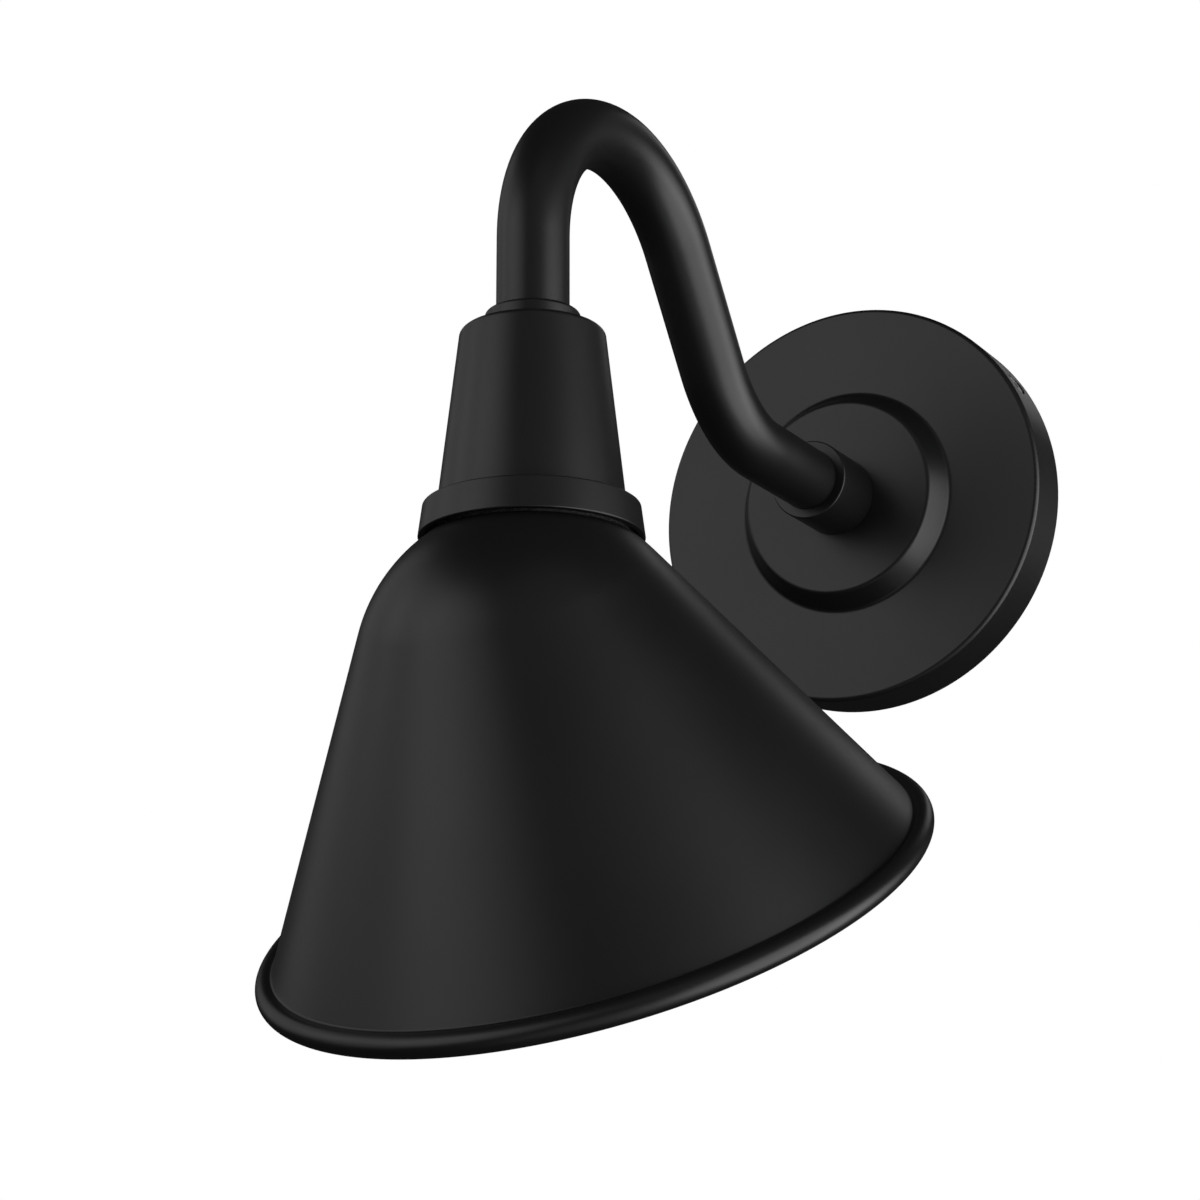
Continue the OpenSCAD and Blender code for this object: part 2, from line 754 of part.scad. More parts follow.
module white_lead() {
    color("#e8e8e4") lead([for (p = lead_route) [-p[0], p[1], p[2]]], [0, 0, 1]);
}

module ground_lead() {
    color("#3f8f4a") rotate([0, 90 - ground_angle, 0]) lead(ground_route, [1, 0, 0]);
}

module wire_connectors() {
    color("#d8d2c0") for (side = [-1, 1])
        translate([side * connector_x, -connector_out, connector_z]) rotate([0, side * 90, 0]) difference() {
            union() {
                cylinder(r = connector_r, h = connector_grip);
                translate([0, 0, connector_grip])
                    cylinder(r1 = connector_r, r2 = connector_tip_r, h = connector_len - connector_grip);
            }
            translate([0, 0, -overcut]) cylinder(r = connector_bore_r, h = connector_bore + overcut);
            for (a = [0:45:315]) rotate([0, 0, a]) translate([connector_r + 0.3, 0, -overcut])
                cylinder(r = 0.8, h = connector_grip);
        }
}

// The bulb: an opal glass, a threaded cap, its insulator and its tip
module bulb_glass() {
    neck_lean = atan2(neck_h, glass_r + neck_arc_r);
    arc_centre = [glass_r + neck_arc_r, neck_z];
    stub_z = neck_z + cap_skirt_h - bulb_gap;
    inner_r = bulb_r - glass_t;
    tip_angle = -89;
    color("#f2f0ea") at_head() rotate_extrude() polygon(concat(
        [[glass_r, stub_z]],
        arc(arc_centre, neck_arc_r, 180, 180 + neck_lean, 14),
        arc([0, globe_z], bulb_r, neck_lean, tip_angle, 40),
        [[0, globe_z + bulb_r * sin(tip_angle)], [0, globe_z + inner_r * sin(tip_angle)]],
        arc([0, globe_z], inner_r, tip_angle, neck_lean, 40),
        arc(arc_centre, neck_arc_r + glass_t, 180 + neck_lean, 180, 14),
        [[glass_r - glass_t, stub_z]]
    ));
}

module bulb_cap() {
    skirt_r = glass_r + thread_gap;
    thread_z = neck_z + cap_skirt_h + 1;
    crown_r = cap_r - thread_depth - cap_wall;
    color("#b9bcc0") at_head() rotate_extrude() polygon(concat(
        [[skirt_r, neck_z], [skirt_r + cap_wall, neck_z], [skirt_r + cap_wall, neck_z + cap_skirt_h]],
        [for (i = [0:4 * thread_turns]) [
            cap_r - thread_depth * (1 + cos(90 * i)) / 2,
            thread_z + i * thread_pitch / 4
        ]],
        [
            [crown_r, cap_top],
            [crown_r - cap_wall, cap_top],
            [crown_r - cap_wall, thread_z],
            [cap_bore_r, neck_z + cap_skirt_h],
            [skirt_r, neck_z + cap_skirt_h]
        ]
    ));
}

module bulb_insulator() {
    edge_r = cap_bore_r - cap_wall / 2;
    color("#1a1a1a") at_head() translate([0, 0, cap_top])
        cylinder(r1 = edge_r, r2 = contact_r + 0.6, h = insulator_h);
}

module bulb_contact() {
    color("#b9bcc0") at_head() translate([0, 0, cap_top + insulator_h])
        cylinder(r1 = contact_r, r2 = tip_r, h = tip_h);
}

wall_plate();
wall_gasket();
mounting_ring();
rim_screws();
ground_screw();
ground_lead();
ground_ring();
arm_nipple();
arm_washer();
arm_nut();
arm_collar();
gooseneck_arm();
arm_end_plug();
head_nipple();
head_washer();
head_nut();
ferrule();
socket_housing();
shade_holder();
lampholder();
screw_shell();
centre_contact();
terminal_screws();
shade_gasket();
shade();
shade_ring();
black_lead();
white_lead();
wire_connectors();
bulb_glass();
bulb_cap();
bulb_insulator();
bulb_contact();
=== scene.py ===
# %% [markdown]
# # A black outdoor wall light, dressed in Blender
# The light was built as solids first: a round plate on the wall, a gooseneck arm, a small housing
# and a tilted shade with a bulb in it. Here those solids become the thing that one would
# photograph. Each step says what the piece is on the real light, which ways there are to make it,
# and why one of them was chosen. Blender's own lengths are metres, and the drawings below are in
# millimetres.

# %% Load the solids
import math

import bmesh
import bpy
from mathutils import Matrix, Vector


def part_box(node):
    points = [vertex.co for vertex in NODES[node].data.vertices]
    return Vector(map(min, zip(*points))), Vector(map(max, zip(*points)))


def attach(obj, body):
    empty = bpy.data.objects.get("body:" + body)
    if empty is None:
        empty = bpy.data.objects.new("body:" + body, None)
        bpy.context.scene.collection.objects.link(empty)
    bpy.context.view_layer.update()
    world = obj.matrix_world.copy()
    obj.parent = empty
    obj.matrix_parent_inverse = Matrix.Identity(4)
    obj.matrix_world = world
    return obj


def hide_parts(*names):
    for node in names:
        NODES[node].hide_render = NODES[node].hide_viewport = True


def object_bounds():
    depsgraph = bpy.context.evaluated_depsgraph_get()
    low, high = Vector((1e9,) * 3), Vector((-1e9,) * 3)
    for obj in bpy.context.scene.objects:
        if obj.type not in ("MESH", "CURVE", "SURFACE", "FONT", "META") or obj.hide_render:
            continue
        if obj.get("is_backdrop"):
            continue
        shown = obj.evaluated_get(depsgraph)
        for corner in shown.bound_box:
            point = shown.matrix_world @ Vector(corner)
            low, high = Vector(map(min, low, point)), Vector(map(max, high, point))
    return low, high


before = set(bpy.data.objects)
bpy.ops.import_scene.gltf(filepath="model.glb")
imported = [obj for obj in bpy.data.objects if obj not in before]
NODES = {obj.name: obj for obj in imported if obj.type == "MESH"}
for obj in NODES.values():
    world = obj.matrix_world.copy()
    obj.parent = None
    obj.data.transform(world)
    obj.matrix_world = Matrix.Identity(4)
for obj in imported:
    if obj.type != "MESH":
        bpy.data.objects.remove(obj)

CAD_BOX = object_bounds()
SCENE = bpy.context.scene
MM = 0.001
lowest, highest = [[round(v, 4) for v in corner] for corner in CAD_BOX]
print(len(NODES), "solids, in a box from", lowest, "to", highest, "m")

# %% [markdown]
# ## The camera
# The photograph looks a little upwards, from 30 degrees to the right of straight ahead and 15
# degrees below. A camera could be aimed with a Track To constraint, but a constraint hides its
# numbers. Here the three directions of the view are worked out and become the columns of the
# camera's matrix, so that the rest of the lesson can point a lamp the same way.

# %% Camera
VIEW_AZIMUTH, VIEW_ELEVATION, VIEW_ROLL = 29.909, -15.118, -0.134
CAMERA_AT = Vector((0.3257, -0.74107, -0.24553))
LENS, SENSOR, NEAREST = 77.565, 36, 0.01


def looking(azimuth, elevation, roll=0.0):
    """The turn of a camera or lamp whose back points to that azimuth and elevation, in degrees."""
    a, e = math.radians(azimuth), math.radians(elevation)
    back = Vector((math.sin(a) * math.cos(e), -math.cos(a) * math.cos(e), math.sin(e)))
    right = (-back).cross(Vector((0, 0, 1))).normalized()
    up = right.cross(-back)
    turn = Matrix((right, up, back)).transposed()
    return turn.to_4x4() @ Matrix.Rotation(math.radians(roll), 4, "Z")


lens = bpy.data.cameras.new("photo_lens")
lens.lens, lens.sensor_width, lens.clip_start = LENS, SENSOR, NEAREST
camera = bpy.data.objects.new("photo_camera", lens)
SCENE.collection.objects.link(camera)
camera.matrix_world = Matrix.Translation(CAMERA_AT) @ looking(VIEW_AZIMUTH, VIEW_ELEVATION, VIEW_ROLL)
SCENE.camera = camera
print("camera", round(CAMERA_AT.length, 3), "m from the middle of the plate's back, lens", LENS, "mm")

# %% [markdown]
# ## Sums on sockets
# A finish is a small sum: this much noise times that much roughness. In the node editor each plus
# and times is a Math node. The class below wraps one output socket, so that the same sum can be
# written as an ordinary expression, and each operator adds its node. Every other node comes from
# one method, which sets the node's own settings first and then its sockets.


# %% Sockets that take part in sums
class Wire:
    """An output socket that takes part in sums."""

    def __init__(self, finish, node, out):
        self.finish, self.node, self.socket = finish, node, node.outputs[out]

    def out(self, name):
        """Another output of the same node."""
        return Wire(self.finish, self.node, name)

    def sum(self, operation, *values):
        return self.finish.add("ShaderNodeMath", {"operation": operation}, dict(enumerate(values)))

    def __add__(self, other):
        return self.sum("ADD", self, other)

    def __sub__(self, other):
        return self.sum("SUBTRACT", self, other)

    def __rsub__(self, other):
        return self.sum("SUBTRACT", other, self)

    def __mul__(self, other):
        return self.sum("MULTIPLY", self, other)

    __radd__ = __add__
    __rmul__ = __mul__


# %% Finishes, built node by node
class Finish:
    """A material, or the world, that is built node by node."""

    def __init__(self, owner):
        self.owner = owner
        owner.use_nodes = True
        self.tree = owner.node_tree
        self.tree.nodes.clear()

    def add(self, kind, settings=None, sockets=None, out=0):
        node = self.tree.nodes.new(kind)
        for name, value in (settings or {}).items():
            setattr(node, name, value)
        for name, value in (sockets or {}).items():
            if isinstance(value, Wire):
                self.tree.links.new(value.socket, node.inputs[name])
            else:
                node.inputs[name].default_value = value
        return Wire(self, node, out) if len(node.outputs) else None

    def place(self):
        """Where a point is, in metres, on a piece that sits at the origin."""
        return self.add("ShaderNodeTexCoord", out="Object")

    def grain(self, size, detail=2.0, rough=0.5):
        """Noise from 0 to 1 whose spots are about that many millimetres wide."""
        sockets = {"Vector": self.place(), "Scale": 1 / (size * MM), "Detail": detail, "Roughness": rough}
        return self.add("ShaderNodeTexNoise", None, sockets)

    def ramp(self, value, *stops):
        """Greys between two stops, each a place and a shade."""
        grey = self.add("ShaderNodeValToRGB", None, {"Fac": value})
        for element, (place, shade) in zip(grey.node.color_ramp.elements, stops):
            element.position, element.color = place, (shade, shade, shade, 1)
        return grey

    def blend(self, share, low, high):
        """A colour between two others."""
        return self.add("ShaderNodeMix", {"data_type": "RGBA"}, {0: share, 6: low, 7: high}, out=2)

    def bump(self, height, depth):
        """Relief of that depth in millimetres, for a height from 0 to 1."""
        return self.add("ShaderNodeBump", None, {"Height": height, "Distance": depth * MM, "Strength": 1.0})

    def surface(self, **sockets):
        """The shader itself. Socket names are written with underscores."""
        named = {name.replace("_", " "): value for name, value in sockets.items()}
        shader = self.add("ShaderNodeBsdfPrincipled", None, named)
        self.add("ShaderNodeOutputMaterial", None, {"Surface": shader})
        return self.owner


def finish(name):
    return Finish(bpy.data.materials.new(name))


def rgb(red, green, blue):
    return (red, green, blue, 1.0)


# %% [markdown]
# ## Black paint
# All that shows from the front is metal under one satin black coat, sprayed and baked. A flat
# black would look like a hole. Real paint dries with a faint orange peel, about a millimetre
# across and a few thousandths of a millimetre deep, and it is never equally matt all over. So
# two sizes of noise change the gloss, and the finer one also lifts the surface. A few specks of
# dust, smaller than either, are lighter and duller than the rest.

# %% Black paint
PEEL, PEEL_DEPTH, CLOUD, DUST, SATIN = 1.3, 0.006, 38, 0.55, 0.36
JET, DUSTY = rgb(0.0042, 0.0043, 0.0045), rgb(0.0062, 0.0063, 0.0066)
coat = finish("black_paint")
peel = coat.grain(PEEL, detail=1.5)
cloud = coat.grain(CLOUD, detail=3)
dust = coat.ramp(coat.grain(DUST, detail=4, rough=0.7), (0.63, 0), (0.78, 1))
black_paint = coat.surface(
    Base_Color=coat.blend(cloud * 0.8 + dust * 0.25, JET, DUSTY),
    Roughness=SATIN + (cloud - 0.5) * 0.09 + (peel - 0.5) * 0.05 + dust * 0.04,
    Normal=coat.bump(peel, PEEL_DEPTH),
)
print(black_paint.name, "has", len(coat.tree.nodes), "nodes")

# %% [markdown]
# ## White enamel
# The photograph doesn't look into the shade. Shades of this kind are nearly always white
# inside, because a black one would swallow the light, so the inner face gets a white enamel.
# It is glossier than the outside. One wide, smooth noise gives it the slight unevenness of the
# spray gun. Any finer one would look like dirt on white.

# %% White enamel
RIPPLE, RIPPLE_DEPTH = 12, 0.003
coat = finish("white_enamel")
ripple = coat.grain(RIPPLE, detail=1)
white_enamel = coat.surface(
    Base_Color=coat.blend(ripple * 0.5, rgb(0.80, 0.79, 0.77), rgb(0.77, 0.76, 0.74)),
    Roughness=0.26 + ripple * 0.05,
    Normal=coat.bump(ripple, RIPPLE_DEPTH),
)
print(white_enamel.name, "has", len(coat.tree.nodes), "nodes")

# %% [markdown]
# ## Bare metals
# Screws, nuts and washers are plated steel, the threads and contacts are brass, and the bulb's
# cap is nickel. Metal shows its colour only in reflections, so what tells one from another is
# the roughness. Each has a fine grain, and a wider cloud of tarnish that dulls and darkens it.
# Zinc plating is a crust of tiny crystals that scatters much of the light, so it is only partly
# metallic here.

# %% Metals
GRAIN, GRAIN_DEPTH = 0.35, 0.004


def metal(name, colour, tarnish, rough, cloud_size=5.0, metallic=1.0):
    bare = finish(name)
    cloud = bare.grain(cloud_size, detail=4, rough=0.6)
    grain = bare.grain(GRAIN, detail=2)
    dull = bare.ramp(cloud, (0.42, 0), (0.72, 1))
    return bare.surface(
        Base_Color=bare.blend(dull * 0.8 + grain * 0.2, colour, tarnish),
        Metallic=metallic,
        Roughness=rough + dull * 0.14 + (grain - 0.5) * 0.06,
        Normal=bare.bump(grain, GRAIN_DEPTH),
    )


METALS = {
    "zinc_steel": metal("zinc_steel", rgb(0.46, 0.47, 0.48), rgb(0.41, 0.42, 0.43), 0.38, metallic=0.65),
    "dark_steel": metal("dark_steel", rgb(0.36, 0.36, 0.37), rgb(0.20, 0.20, 0.21), 0.34, cloud_size=2.0),
    "brass": metal("brass", rgb(0.78, 0.58, 0.27), rgb(0.50, 0.34, 0.15), 0.26),
    "cap_metal": metal("cap_metal", rgb(0.66, 0.65, 0.62), rgb(0.50, 0.48, 0.45), 0.22, cloud_size=3.0),
}
print("metals:", ", ".join(METALS))

# %% [markdown]
# ## Rubber, porcelain, glass and plastic
# The rest is seen when the light is taken down or looked at from below. Foam rubber has open
# pores, which are Voronoi cells pressed into the surface. Each pore is also coloured darker
# towards its bottom, which is painted shade in the pits. Porcelain is glazed: even and very
# smooth, with a few dark specks in the clay. The opal bulb lets light wander inside its wall,
# which is what Subsurface is for. The wires' sheaths are soft plastic with a dull skin.

# %% Rubber
CELLS_PER_METRE, PORE_DEPTH = 900.0, 0.12
foam = finish("foam_rubber")
spread = {"Vector": foam.place(), "Scale": CELLS_PER_METRE}
cells = foam.add("ShaderNodeTexVoronoi", {"feature": "F1"}, spread)
pores = foam.ramp(cells, (0.15, 0), (0.6, 1))
# The colour follows the pits' depth, darker at the bottom of each pore: painted shade in the pits.
foam_rubber = foam.surface(
    Base_Color=foam.blend(pores, rgb(0.012, 0.012, 0.012), rgb(0.035, 0.035, 0.036)),
    Roughness=0.95 - pores * 0.15,
    Normal=foam.bump(pores, PORE_DEPTH),
)
print(foam_rubber.name, "has pores", round(1 / (CELLS_PER_METRE * MM), 1), "mm apart")

# %% Porcelain
SPECK, WAVE, WAVE_DEPTH = 0.9, 14, 0.05
clay = finish("porcelain")
speck = clay.ramp(clay.grain(SPECK, detail=3, rough=0.6), (0.68, 0), (0.74, 1))
wave = clay.grain(WAVE, detail=1)
porcelain = clay.surface(
    Base_Color=clay.blend(speck * 0.35 + wave * 0.2, rgb(0.82, 0.80, 0.74), rgb(0.62, 0.58, 0.50)),
    Roughness=0.14 + wave * 0.08,
    Normal=clay.bump(wave, WAVE_DEPTH),
    Coat_Weight=0.4,
)
print(porcelain.name, "has", len(clay.tree.nodes), "nodes")

# %% Opal glass
BREATH, WANDER = 22, 4
opal = finish("opal_glass")
breath = opal.grain(BREATH, detail=2)
opal_glass = opal.surface(
    Base_Color=opal.blend(breath, rgb(0.86, 0.85, 0.81), rgb(0.80, 0.79, 0.75)),
    Roughness=0.12 + breath * 0.06,
    Subsurface_Weight=0.25,
    Subsurface_Radius=(1.0, 0.95, 0.9),
    Subsurface_Scale=WANDER * MM,
    IOR=1.5,
)
print("light wanders", WANDER, "mm in the", opal_glass.name)

# %% Plastics
SKIN_GRAIN = 0.5


def plastic(name, low, high, rough, mottle=6.0, relief=0.01):
    skin = finish(name)
    cloud = skin.grain(mottle, detail=3)
    fine = skin.grain(SKIN_GRAIN, detail=2)
    return skin.surface(
        Base_Color=skin.blend(cloud, low, high),
        Roughness=rough + (fine - 0.5) * 0.16,
        Normal=skin.bump(fine, relief),
    )


PLASTICS = {
    name: plastic(name, rgb(*low), rgb(*high), rough, **relief)
    for name, low, high, rough, relief in (
        ("black_sheath", (0.010, 0.010, 0.011), (0.020, 0.020, 0.021), 0.42, {}),
        ("white_sheath", (0.72, 0.72, 0.70), (0.60, 0.60, 0.57), 0.42, {}),
        ("green_sheath", (0.030, 0.220, 0.060), (0.020, 0.150, 0.045), 0.42, {}),
        ("cream_plastic", (0.66, 0.58, 0.42), (0.58, 0.50, 0.35), 0.36, {"relief": 0.02}),
        ("green_screw", (0.030, 0.200, 0.060), (0.015, 0.090, 0.030), 0.28, {"mottle": 1.5}),
        ("black_insulator", (0.008, 0.007, 0.009), (0.016, 0.014, 0.018), 0.12, {"relief": 0.003}),
    )
}
print("plastics:", ", ".join(PLASTICS))

# %% [markdown]
# ## Every solid gets its finish
# The record names one material slot for each solid. The solids arrive with plain materials of
# those names, so each slot only has to be filled with the finish of the same name. Their shapes
# aren't touched.

# %% Finishes onto the solids
FINISHES = {
    "black_paint": black_paint,
    "foam_rubber": foam_rubber,
    "porcelain": porcelain,
    "opal_glass": opal_glass,
    **METALS,
    **PLASTICS,
}
dressed = 0
for solid in NODES.values():
    for held in solid.material_slots:
        held.material = FINISHES[held.material.name.split(".")[0]]
        dressed += 1
print(dressed, "slots filled")

# %% [markdown]
# ## Measures from the solids
# A piece that stands for a solid has to lie where the solid lies. Its outer sizes could be typed
# once more, but they would be wrong as soon as the solid changed. So they are read from the box
# that the solid fills. Only what a box can't tell, such as a wall or a fillet, is typed below.

# %% Measures


def corners(node):
    """The lowest and the highest corner of a solid, in millimetres."""
    return [[round(v / MM, 3) for v in corner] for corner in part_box(node)]


housing_low, housing_high = corners("socket_housing")
ARM_REACH = -(housing_low[1] + housing_high[1]) / 2
HEAD_Z, HOLDER_Z = housing_high[2], housing_low[2]
OFF_WALL = Matrix.Rotation(math.radians(90), 4, "X")
AT_HEAD = Matrix.Translation((0, -ARM_REACH * MM, 0))
print("the head hangs", round(ARM_REACH, 3), "mm off the wall, and its top is at height", HEAD_Z, "mm")

# %% [markdown]
# ## A pencil for turned pieces
# The plate, the collar, the housing and the shade are round. A Screw modifier could make them,
# but its axis is awkward for a tilted shade. Instead a pencil draws half of the section in a
# bmesh, with lines and arcs, and Spin carries it once round. An arc is itself a spin of the
# pencil's tip.
#
# The finished mesh is shaded smooth, except across its sharp edges. That alone would bend the
# shading of a large flat face towards the narrow fillets round it, and black paint shows this at
# once. The Weighted Normal modifier lets the larger face win, so that flat faces stay flat.

# %% Pencil
WELD = 8e-6


class Pencil:
    """Draws an outline from a first point: radius, then distance along the axis, in millimetres."""

    def __init__(self, r, z):
        self.mesh = bmesh.new()
        self.tip = self.mesh.verts.new((r * MM, 0, z * MM))
        self.first = self.tip

    def line(self, *points):
        """Straight on to each point."""
        for r, z in points:
            made = bmesh.ops.extrude_vert_indiv(self.mesh, verts=[self.tip])
            self.tip = made["verts"][0]
            self.tip.co = (r * MM, 0, z * MM)
        return self

    def arc(self, centre, turn, steps):
        """Round a centre by some degrees, anticlockwise with the radius to the right."""
        middle = (centre[0] * MM, 0, centre[1] * MM)
        made = bmesh.ops.spin(
            self.mesh, geom=[self.tip], cent=middle, axis=(0, -1, 0), angle=math.radians(turn), steps=steps
        )
        self.tip = next(v for v in made["geom_last"] if isinstance(v, bmesh.types.BMVert))
        return self

    def turned(self, steps, closed=True):
        """Carries the outline once round the axis, after closing it unless it is only a skin."""
        if closed:
            self.mesh.edges.new((self.tip, self.first))
        outline = self.mesh.verts[:] + self.mesh.edges[:]
        bmesh.ops.spin(
            self.mesh, geom=outline, cent=(0, 0, 0), axis=(0, 0, 1),
            angle=math.tau, steps=steps, use_merge=True,
        )
        bmesh.ops.remove_doubles(self.mesh, verts=self.mesh.verts, dist=WELD)
        bmesh.ops.recalc_face_normals(self.mesh, faces=self.mesh.faces)
        return self.mesh


# %% From mesh to piece
SHARP_FROM = math.radians(32)


def placed(mesh, matrix):
    """The same mesh, moved to its place."""
    bmesh.ops.transform(mesh, matrix=matrix, verts=mesh.verts)
    return mesh


def finished(mesh, name, finish_name, solid):
    """A bmesh becomes a piece that rides on the fixture and stands for a solid."""
    data = bpy.data.meshes.new(name)
    mesh.to_mesh(data)
    mesh.free()
    data.shade_smooth()
    data.set_sharp_from_angle(angle=SHARP_FROM)
    data.materials.append(FINISHES[finish_name])
    piece = bpy.data.objects.new(name, data)
    SCENE.collection.objects.link(piece)
    piece.modifiers.new("large_faces_first", "WEIGHTED_NORMAL").keep_sharp = True
    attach(piece, "fixture")
    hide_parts(solid)
    print(name, len(data.vertices), "vertices,", len(data.polygons), "faces")
    return piece


# %% [markdown]
# ## The wall plate
# The plate is a shallow cap with a raised boss in its middle that carries the arm. Its front edge
# is rounded, and the boss rises out of a small fillet. Both catch the light as a thin line, so
# both are arcs of the pencil, and not a bump in the paint. A foam seal lies in a step of the back
# edge and closes the gap to the wall.
#
# The two screws sit in shallow round sinks in the rim. Those can't be turned with the rest, so a
# Boolean takes them out. The cutter is a stepped pin, wide for the head and narrow for the shank.

# %% Wall plate outline
plate_low, plate_high = corners("wall_plate")
seal_low, seal_high = corners("wall_gasket")
PLATE_R, BOSS_OUT = plate_high[0], -plate_low[1]
GASKET_R, GASKET_T = seal_high[0], -seal_low[1]
PLATE_FRONT_R, PLATE_DEPTH, EDGE_R, FILLET_R = 64.85, 17.4, 1.5, 1.8
BOSS_BASE_R, BOSS_FACE_R, NIPPLE_HOLE_R = 35.8, 31.4, 5.1
CAVITY_R, WALL_T, PLATE_INSIDE, BOSS_INSIDE = 60.5, 2.5, 14.9, 21.7

rise = math.atan2(BOSS_OUT - PLATE_DEPTH, BOSS_BASE_R - BOSS_FACE_R)
reach = FILLET_R * math.tan(rise / 2)
foot = (BOSS_BASE_R + reach, PLATE_DEPTH + FILLET_R)
brow = (BOSS_FACE_R - reach, BOSS_OUT - FILLET_R)
outline = (
    Pencil(PLATE_R, 0)
    .line((PLATE_FRONT_R, PLATE_DEPTH - EDGE_R))
    .arc((PLATE_FRONT_R - EDGE_R, PLATE_DEPTH - EDGE_R), 90, steps=8)
    .line((foot[0], PLATE_DEPTH))
    .arc(foot, -math.degrees(rise), steps=6)
    .line((brow[0] + FILLET_R * math.sin(rise), brow[1] + FILLET_R * math.cos(rise)))
    .arc(brow, math.degrees(rise), steps=6)
    .line((NIPPLE_HOLE_R, BOSS_OUT), (NIPPLE_HOLE_R, BOSS_INSIDE), (BOSS_FACE_R - WALL_T, BOSS_INSIDE))
    .line((BOSS_BASE_R - WALL_T, PLATE_INSIDE), (CAVITY_R, PLATE_INSIDE), (CAVITY_R, GASKET_T))
    .line((GASKET_R, GASKET_T), (GASKET_R, 0))
)
print("the boss rises at", round(math.degrees(rise), 1), "degrees")

# %% Wall plate and its seal
plate = placed(outline.turned(steps=192), OFF_WALL)
wall_plate = finished(plate, "dress_wall_plate", "black_paint", "wall_plate")
seal = Pencil(CAVITY_R, 0).line((GASKET_R, 0), (GASKET_R, GASKET_T), (CAVITY_R, GASKET_T)).turned(steps=160)
finished(placed(seal, OFF_WALL), "dress_wall_gasket", "foam_rubber", "wall_gasket")

# %% Pins for the sinks
screws_low, screws_high = corners("rim_screws")
SCREW_OUT = -(screws_low[1] + screws_high[1]) / 2
SCREW_ANGLE, SHANK_HOLE_R, SINK_R, SINK_DEPTH, OVERCUT = 30, 2.1, 4.0, 2.4, 1

pin = (
    Pencil(0, CAVITY_R - OVERCUT)
    .line((SHANK_HOLE_R, CAVITY_R - OVERCUT), (SHANK_HOLE_R, PLATE_R - SINK_DEPTH))
    .line((SINK_R, PLATE_R - SINK_DEPTH), (SINK_R, PLATE_R + OVERCUT), (0, PLATE_R + OVERCUT))
    .turned(steps=48)
)
single = bpy.data.meshes.new("pin")
pin.to_mesh(single)
pin.clear()
lying = Matrix.Translation((0, 0, SCREW_OUT * MM)) @ Matrix.Rotation(math.radians(90), 4, "Y")
for angle in (SCREW_ANGLE, SCREW_ANGLE + 180):
    laid = single.copy()
    laid.transform(OFF_WALL @ Matrix.Rotation(math.radians(angle), 4, "Z") @ lying)
    pin.from_mesh(laid)
cutter = bpy.data.meshes.new("pins")
pin.to_mesh(cutter)
pin.free()
print("the pins lie", SCREW_OUT, "mm off the wall")

# %% Sinks
pins = bpy.data.objects.new("pins", cutter)
SCENE.collection.objects.link(pins)
sinks = wall_plate.modifiers.new("sinks", "BOOLEAN")
sinks.operation, sinks.solver, sinks.object = "DIFFERENCE", "EXACT", pins
bpy.context.view_layer.update()
carved = bpy.data.meshes.new_from_object(wall_plate.evaluated_get(bpy.context.evaluated_depsgraph_get()))
wall_plate.modifiers.remove(sinks)
wall_plate.data = carved
carved.set_sharp_from_angle(angle=SHARP_FROM)
bpy.data.objects.remove(pins)
print("the plate has", len(carved.polygons), "faces after the sinks")

# %% [markdown]
# ## The arm
# The arm is one tube, bent twice: up from its straight root, then over in a wide bow and down
# into the housing. A curve with a round bevel would do, but its rings bunch up where a curve
# turns into a line. Here a circle of edges is extruded along each straight run and spun round
# the centre of each bend, which is just how a tube bender works. Solidify then gives the wall.

# %% Runs and bends
arm_high = corners("gooseneck_arm")[1]
TUBE_R, TUBE_START, TUBE_WALL = arm_high[0], -arm_high[1], 1.2
BEND_START, RISE_R, RISE_ANGLE, RISE_LEN, TOP_R = 78.3, 37.4, 55.0, 35.9, 43.8
slope = math.radians(RISE_ANGLE)
RISE_UP = RISE_R * (1 - math.cos(slope)) + RISE_LEN * math.sin(slope)
TOP_CENTRE = (ARM_REACH - TOP_R, RISE_UP - TOP_R * math.cos(slope))


def ring_run(mesh, edges, move):
    """Extrudes a ring of edges along a straight run and gives back its far end."""
    made = bmesh.ops.extrude_edge_only(mesh, edges=edges)["geom"]
    far = [v for v in made if isinstance(v, bmesh.types.BMVert)]
    bmesh.ops.translate(mesh, verts=far, vec=[step * MM for step in move])
    return [e for e in made if isinstance(e, bmesh.types.BMEdge) and all(v in far for v in e.verts)]


def ring_bend(mesh, edges, out, up, turn, steps):
    """Spins a ring of edges round a level axis that lies so far off the wall and so high."""
    ends = list({v for e in edges for v in e.verts})
    centre = (0, -out * MM, up * MM)
    made = bmesh.ops.spin(
        mesh, geom=ends + edges, cent=centre, axis=(1, 0, 0), angle=math.radians(turn), steps=steps
    )
    return [e for e in made["geom_last"] if isinstance(e, bmesh.types.BMEdge)]


print("the bow turns round a point", [round(v, 3) for v in TOP_CENTRE], "mm off the wall and up")

# %% Arm
arm = bmesh.new()
start = Matrix.Translation((0, -TUBE_START * MM, 0)) @ OFF_WALL
bmesh.ops.create_circle(arm, segments=72, radius=TUBE_R * MM, matrix=start)
ring = arm.edges[:]
ring = ring_run(arm, ring, (0, TUBE_START - BEND_START, 0))
ring = ring_bend(arm, ring, BEND_START, RISE_R, -RISE_ANGLE, steps=20)
ring = ring_run(arm, ring, (0, -RISE_LEN * math.cos(slope), RISE_LEN * math.sin(slope)))
ring = ring_bend(arm, ring, *TOP_CENTRE, 90 + RISE_ANGLE, steps=56)
ring = ring_run(arm, ring, (0, 0, HEAD_Z - TOP_CENTRE[1]))
bmesh.ops.remove_doubles(arm, verts=arm.verts, dist=WELD)
bmesh.ops.recalc_face_normals(arm, faces=arm.faces)
rim = {v for e in ring for v in e.verts}
end = sum((v.co for v in rim), Vector()) / len(rim)
print("the arm ends", round(-end.y / MM, 2), "mm off the wall and", round(end.z / MM, 2), "mm up")
